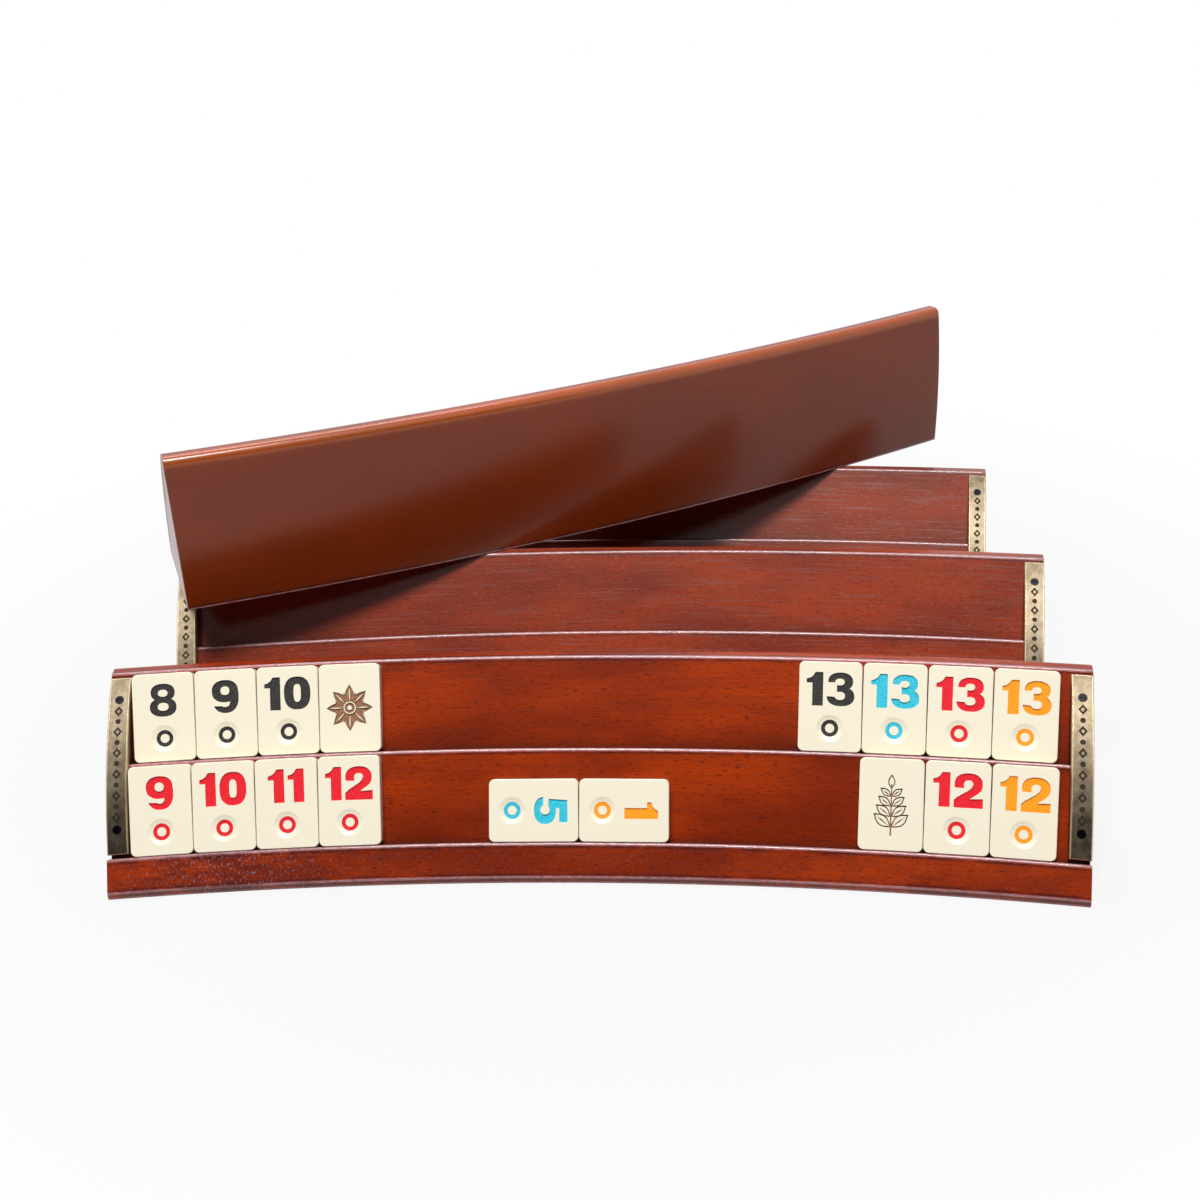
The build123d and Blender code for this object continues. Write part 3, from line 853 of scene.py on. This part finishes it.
class Finish:
    """A material with a Principled surface, built up by node()."""

    def __init__(self, name, **fixed):
        self.material = bpy.data.materials.new(name)
        self.material.use_nodes = True
        self.tree = self.material.node_tree
        self.surface = self.tree.nodes["Principled BSDF"]
        for socket, value in fixed.items():
            self.surface.inputs[socket.replace("_", " ")].default_value = value

    def node(self, kind, settings=None, sockets=None, output=0):
        """Makes one node and gives one of its outputs."""
        made = self.tree.nodes.new("ShaderNode" + kind)
        for name, value in (settings or {}).items():
            setattr(made, name, value)
        for name, value in (sockets or {}).items():
            if isinstance(value, Value):
                self.tree.links.new(value.socket, made.inputs[name])
            else:
                made.inputs[name].default_value = value
        return Value(self, made.outputs[output])

    def feed(self, **sockets):
        """Links values to the surface's sockets."""
        for name, value in sockets.items():
            self.tree.links.new(value.socket, self.surface.inputs[name.replace("_", " ")])

    def attribute(self, name, output=2):
        """A float attribute of the mesh; output 1 gives a vector."""
        return self.node("Attribute", {"attribute_name": name}, output=output)

    def noise(self, vector, stretch=None, scale=1.0, detail=2.0, roughness=0.5):
        """Noise over a vector, whose axes may first be multiplied each by its own number."""
        if stretch:
            vector = self.node("VectorMath", {"operation": "MULTIPLY"},
                               {0: vector, 1: stretch})
        return self.node("TexNoise", {}, {"Vector": vector, "Scale": scale,
                                                    "Detail": detail, "Roughness": roughness})

    def ramped(self, value, low, high):
        """0 below low, 1 above high, and a smooth step between."""
        return self.node("MapRange", {"interpolation_type": "SMOOTHSTEP"},
                         {"Value": value, "From Min": low, "From Max": high})

    def blend(self, factor, first, second):
        """Mixes two colours."""
        return self.node("Mix", {"data_type": "RGBA"},
                         {0: factor, 6: first, 7: second}, output=2)

    def bump(self, height, strength, distance):
        """A normal that leans as if the surface rose by height times distance."""
        return self.node("Bump", {},
                         {"Height": height, "Strength": strength, "Distance": distance})


def colour(red, green, blue):
    """An sRGB colour from 0 to 255 as the linear colour that a shader works with."""
    share = np.array([red, green, blue]) / 255
    linear = np.where(share <= 0.04045, share / 12.92, ((share + 0.055) / 1.055) ** 2.4)
    return (*linear.tolist(), 1.0)


print("shader helpers ready")

# %% [markdown]
# ## Stained beech
# Beech is plain and close grained. The stain shows its short rays as dark dashes along the grain.
# Painted shade darkens the inner corners, the backs and a band beside each arris. A painted
# highlight lies along each arris as a pale lilac grey line, and on the turned rack's crown as
# warm orange. A painted reflection haze lies on the racks, most on those behind, and the aprons
# are scuffed. A picture of wood would need unwrapping. A solid texture over the distance along
# the arc, the depth and the height follows the plank, and shows as end grain on the saw cuts.

# %% the wood's finish
BEECH = Finish("stained_beech", IOR=1.45, Specular_IOR_Level=0.38, Coat_Roughness=0.14)
grain = BEECH.attribute("grain", 1)
cloud = BEECH.noise(grain, (14, 40, 40), detail=3.0)
fibre = BEECH.noise(grain, (30, 1100, 700), detail=4.0, roughness=0.65)
ray = BEECH.noise(grain, (330, 1900, 1600), detail=1.0)
dab = BEECH.noise(grain, (420, 2300, 1900))
fleck = BEECH.noise(grain, (1300, 900, 600))
# noise that mottles the scuffs and the bump and breaks up the painted shade beside the arrises
wear_and_shade_noise = BEECH.noise(grain, (60, 160, 160), detail=4.0, roughness=0.7)
arris, nook_shade, painted_sheen, rear, scuff, crown = (BEECH.attribute(name) for name in (
    "arris", "nook_shade", "painted_sheen", "rear", "scuff", "crown"))
ramp = BEECH.ramped
# painted shade: a dark band along both sides of each arris's rounding
beside = ramp(arris, 0.04, 0.3) - ramp(arris, 0.55, 0.9)
# painted highlight: a pale lilac line along the middle of each arris's rounding
painted_arris_highlight = ramp(arris, 0.7, 1.0) * (0.4 + ramp(dab, 0.4, 0.6) * 0.4)

body = BEECH.blend(ramp(cloud, 0.3, 0.7), colour(122, 34, 6), colour(166, 54, 6))
for share, *tint in (                  # each row lays one more colour over what is there
        (ramp(fibre, 0.36, 0.74) * 0.42, 104, 30, 8),
        # painted shade: the back is laid over darker and browner, for the dimmer light it gets
        (rear * 0.8, 116, 44, 6),
        (ramp(ray, 0.58, 0.70) * (0.55 - rear * 0.4), 64, 18, 8),
        # painted shade: the inner corners, where a ledge meets a face, are darkened
        (nook_shade * 0.75, 52, 18, 8),
        # painted shade: the dark band beside each arris, in patches
        (beside * ramp(wear_and_shade_noise, 0.3, 0.6) * 0.75, 54, 20, 18),
        # painted highlight: the turned rack's wide crown rounding turns warm orange
        (crown * 0.4, 196, 104, 48),
        # painted highlight: the pale lilac line along each arris
        (painted_arris_highlight, 186, 146, 152),
        # painted reflection: a pale haze with glints along the fibre and in spots
        (painted_sheen * 0.2, 148, 90, 76),
        (painted_sheen * ramp(fibre, 0.5, 0.68) * 0.24, 170, 128, 122),
        (painted_sheen * ramp(dab, 0.58, 0.76) * 0.22, 206, 160, 144),
        (scuff * ramp(wear_and_shade_noise, 0.34, 0.62) * 0.75, 78, 26, 24),
        (scuff * scuff * ramp(fleck, 0.53, 0.74) * 0.62, 144, 128, 140)):
    body = BEECH.blend(share, body, colour(*tint))
BEECH.feed(Base_Color=body,
           Roughness=0.2 + fibre * 0.06,
           Coat_Weight=0.05 + arris * 0.6 + crown * 0.3 + rear * 0.12,
           Normal=BEECH.bump(fibre * 0.5 + ray * -0.6 + wear_and_shade_noise * 0.5, 0.2, 0.0002))
for wood in woods:
    wood.data.materials.append(BEECH.material)
print("wood finished:", len(BEECH.tree.nodes), "nodes")

# %% [markdown]
# ## Ivory plastic and engraver's paint
# A tile is one polished cream plastic. The engraved floors and walls hold paint, which is matt
# and thinner in spots. Two materials on one mesh would do. Here each face carries a number that
# says whether it is painted, and it switches the colour and the gloss.

# %% the tiles' finish
IVORY = colour(243, 234, 211)
PAINTS = {"black": ((20, 16, 14), (66, 62, 58)), "red": ((222, 0, 24), (242, 34, 54)),
          "blue": ((20, 184, 208), (88, 216, 232)), "orange": ((251, 150, 0), (253, 176, 0)),
          "brown": ((134, 90, 58), (178, 134, 96))}


def painted_ivory(name):
    """Ivory whose painted faces take one paint, thick in most places and thin in spots."""
    thick, thin = (colour(*tint) for tint in PAINTS[name])
    ivory = Finish(f"ivory_with_{name}", IOR=1.5, Specular_IOR_Level=0.4)
    place = ivory.node("TexCoord", output=3)
    spots = ivory.noise(place, scale=1500.0, detail=3.0, roughness=0.7)
    paint = ivory.attribute("paint")
    film = ivory.blend(ivory.ramped(spots, 0.42, 0.72), thick, thin)
    ivory.feed(Base_Color=ivory.blend(paint, IVORY, film),
               Roughness=0.24 + paint * 0.4,
               Normal=ivory.bump(spots * paint, 0.5, 0.0001))
    return ivory.material


ivories = {name: painted_ivory(name) for name in PAINTS}
for words, tile in tiles.items():
    paint_name = words.split("_")[0].replace("joker", "brown")
    tile.data.materials.append(ivories[paint_name])
print("tile finishes:", *ivories)

# %% [markdown]
# ## Antiqued brass and black screws
# The caps were dipped until the brass went olive brown, and then rubbed, so their edges shine and
# the sunk pattern stays dark. Pointiness could find the edges, but the mesh already says how near
# each point is to one. The screws are blackened steel.

# %% the metals' finishes
BRASS = Finish("antique_brass", Metallic=1.0, Coat_Weight=0.0)
spot = BRASS.node("TexCoord", output=3)
patina = BRASS.noise(spot, (260, 260, 90), detail=5.0, roughness=0.7)
dirt = BRASS.attribute("paint")
rub = BRASS.attribute("rub")
metal = BRASS.blend(BRASS.ramped(patina, 0.3, 0.75), colour(80, 70, 56), colour(111, 100, 83))
metal = BRASS.blend(BRASS.ramped(rub + patina * 0.2, 0.8, 1.1), metal, colour(188, 170, 138))
metal = BRASS.blend(dirt * 0.8, metal, colour(44, 40, 34))
BRASS.feed(Base_Color=metal, Roughness=0.33 + patina * 0.16 + dirt * 0.3,
           Normal=BRASS.bump(patina, 0.3, 0.0002))
for cap in caps:
    cap.data.materials.append(BRASS.material)

SCREW = Finish("blackened_steel", Metallic=1.0, Roughness=0.36, Base_Color=colour(22, 22, 25))
for rack in RACK_PLACES:
    screws = frame["nodes"][f"{rack}_rack_cap_screws"]
    screws.data.materials.clear()
    screws.data.materials.append(SCREW.material)
print("metals finished")

# %% [markdown]
# ## Table, light and background
# The set stands on a plain pale table. A wide soft lamp high in front lights the leaning faces,
# and a weaker one high behind brings out the upper edges. The white background shows only where
# the camera, a reflection or a refraction looks at it, and the table fades into it, so that no
# horizon shows. Low in front hangs a black card that only reflections see: polished wood would
# otherwise mirror the white room and look milky.

# %% stage, lamps and world
CENTRE = Vector((0.0, 0.12, 0.05))
WHITE, BLACK = (1.0, 1.0, 1.0, 1.0), (0.0, 0.0, 0.0, 1.0)


def flat_stage(name, corners, finish):
    """One flat face of the stage, with its finish."""
    mesh = bpy.data.meshes.new(name)
    mesh.from_pydata(corners, [], [tuple(range(len(corners)))])
    mesh.materials.append(finish.material)
    sheet = new_object(name, mesh)
    return sheet


def seen_directly(tree):
    """1 for camera, glossy and transmission rays, and 0 for the light that falls on things."""
    path = tree.nodes.new("ShaderNodeLightPath")
    seen = path.outputs["Is Camera Ray"]
    for ray_kind in ("Is Glossy Ray", "Is Transmission Ray"):
        most = tree.nodes.new("ShaderNodeMath")
        most.operation = "MAXIMUM"
        tree.links.new(seen, most.inputs[0])
        tree.links.new(path.outputs[ray_kind], most.inputs[1])
        seen = most.outputs[0]
    return seen


HALF_TABLE, NEAR_GLOW, FADE_FROM, FADE_TO = 6.0, 0.84, 0.2, 0.5
TABLE = Finish("pale_table", Roughness=0.9, Specular_IOR_Level=0.1,
               Base_Color=colour(190, 190, 190))
away = TABLE.node("NewGeometry")
away = TABLE.node("VectorMath", {"operation": "DISTANCE"},
                  {0: away, 1: (CENTRE.x, CENTRE.y, 0.0)}, "Value")
glow = TABLE.node("Emission", {}, {"Color": WHITE, "Strength": 1.0})
faded = 1.0 - (1.0 - TABLE.ramped(away, FADE_FROM, FADE_TO)) * (1.0 - NEAR_GLOW)
faded = faded * Value(TABLE, seen_directly(TABLE.tree))
mixed = TABLE.node("MixShader", {},
                   {0: faded, 1: Value(TABLE, TABLE.surface.outputs[0]), 2: glow})
TABLE.tree.links.new(mixed.socket, TABLE.tree.nodes["Material Output"].inputs["Surface"])
flat_stage("table_top", [(x, y, 0) for x, y in bar(-HALF_TABLE, -HALF_TABLE,
                                                   HALF_TABLE, HALF_TABLE)], TABLE)

CARD_WAY_OFF, CARD_HALF_WIDTH, CARD_FOOT, CARD_TOP = 1.6, 2.2, 0.02, 1.32
CARD = Finish("black_card", Roughness=1.0, Specular_IOR_Level=0.0, Base_Color=BLACK)
card_corners = [(x, -CARD_WAY_OFF, z) for x, z in bar(-CARD_HALF_WIDTH, CARD_FOOT,
                                                      CARD_HALF_WIDTH, CARD_TOP)]
card = flat_stage("black_card", card_corners, CARD)
card.visible_camera = card.visible_diffuse = card.visible_shadow = card.visible_transmission = False


def soft_lamp(name, distance, azimuth, elevation, width, height, power):
    """A rectangular lamp that faces the set's middle. Azimuth 0 is in front, and grows to the
    right."""
    light = bpy.data.lights.new(name, "AREA")
    light.shape, light.size, light.size_y, light.energy = "RECTANGLE", width, height, power
    (front, right), (level, rise) = cos_sin(azimuth), cos_sin(elevation)
    way = Vector((right * level, -front * level, rise))
    lamp = new_object(name, light)
    lamp.location = CENTRE + way * distance
    lamp.rotation_mode = "QUATERNION"
    lamp.rotation_quaternion = way.to_track_quat("Z", "Y")


soft_lamp("high_box", 2.2, -4, 67, 0.75, 0.65, 54)
soft_lamp("back_box", 1.8, 205, 58, 1.0, 0.6, 11)

ROOM_LIGHT = 0.03
world = bpy.data.worlds.new("white_room")
world.use_nodes = True
bpy.context.scene.world = world
room = world.node_tree.nodes["Background"]
level = world.node_tree.nodes.new("ShaderNodeMapRange")
level.inputs["To Min"].default_value = ROOM_LIGHT
world.node_tree.links.new(seen_directly(world.node_tree), level.inputs["Value"])
world.node_tree.links.new(level.outputs[0], room.inputs["Strength"])
room.inputs["Color"].default_value = WHITE
bpy.context.scene.view_settings.view_transform = "Standard"
print("stage and light ready")

# %% [markdown]
# ## Camera
# The camera looks down at the set from in front and a little to the right. A Track To constraint
# would aim it, but could not roll it, so its axes are worked out: it looks along `ahead`, and
# `right` and `up` are rolled a little round that line.

# %% camera
CAMERA_PLACE = (0.0634, -0.6103, 0.4219)
PITCH_DOWN, YAW_RIGHT, ROLL = 26.43, -5.30, -2.79
LENS, SENSOR = 49.54, 36.0

(cos_pitch, sin_pitch), (cos_yaw, sin_yaw), (cos_roll, sin_roll) = (
    cos_sin(angle) for angle in (PITCH_DOWN, YAW_RIGHT, ROLL))
ahead = Vector((sin_yaw * cos_pitch, cos_yaw * cos_pitch, -sin_pitch))
level_right = Vector((cos_yaw, -sin_yaw, 0))
level_up = level_right.cross(ahead)
right = level_right * cos_roll + level_up * sin_roll
up = level_up * cos_roll - level_right * sin_roll

camera_data = bpy.data.cameras.new("camera")
camera_data.lens, camera_data.sensor_width = LENS, SENSOR
camera_data.clip_start, camera_data.clip_end = 0.01, 50
camera = new_object("camera", camera_data)
camera.matrix_world = Matrix([(right[i], up[i], -ahead[i], CAMERA_PLACE[i]) for i in range(3)]
                             + [(0, 0, 0, 1)])
bpy.context.scene.camera = camera
